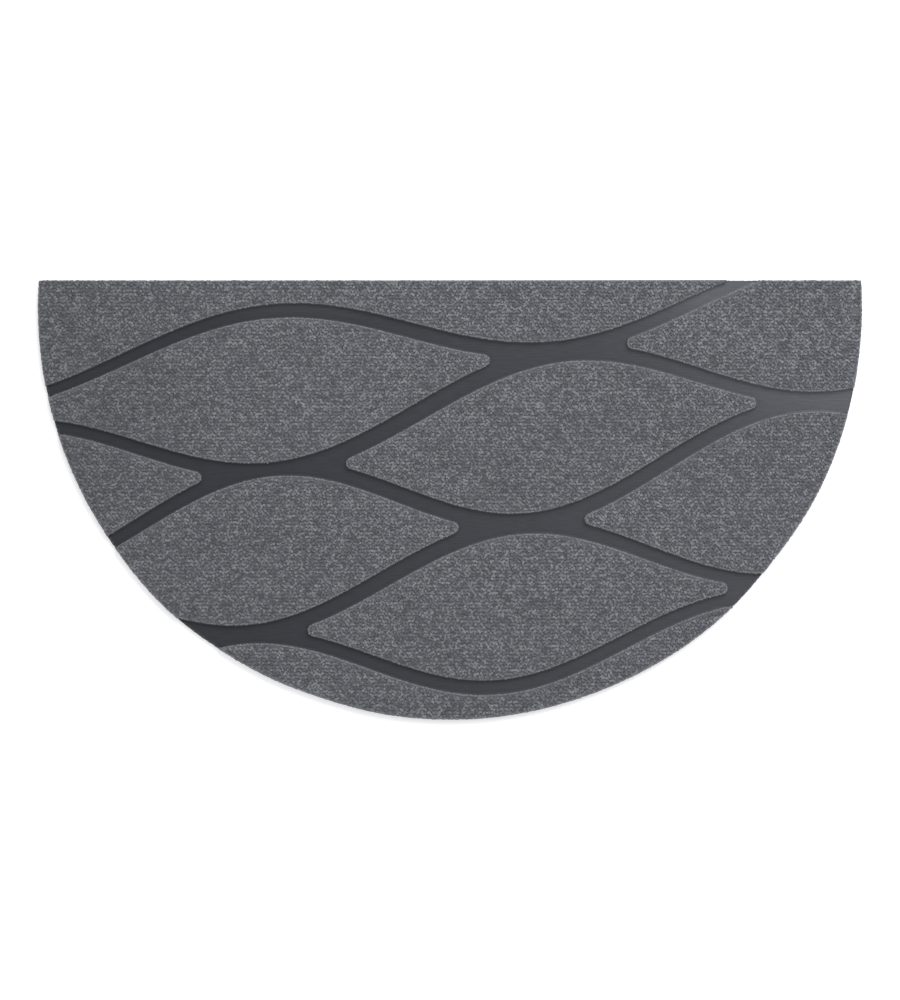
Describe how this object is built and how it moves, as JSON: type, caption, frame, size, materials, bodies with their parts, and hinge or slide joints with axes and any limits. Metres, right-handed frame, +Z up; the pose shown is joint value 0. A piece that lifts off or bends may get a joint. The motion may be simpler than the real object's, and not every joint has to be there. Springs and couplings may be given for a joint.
{
  "type": "half-round sculpted doormat",
  "caption": "Half-round entrance mat of dense grey cut pile with a straight edge, sculpted with sunk wavy channels that part and meet; lies flat on the floor.",
  "frame": {"origin": "middle of the mat's bounding box, on the floor under its flat underside", "axes": "+X along the straight edge, the longest extent; +Y towards the straight edge, away from the rounded side; +Z up through the pile, the shortest extent"},
  "size_m": [0.75, 0.4, 0.008],
  "materials": {
    "pile": "matte heathered grey cut pile"
  },
  "bodies": {
    "root": {"mat": "pile"}
  },
  "joints": []
}
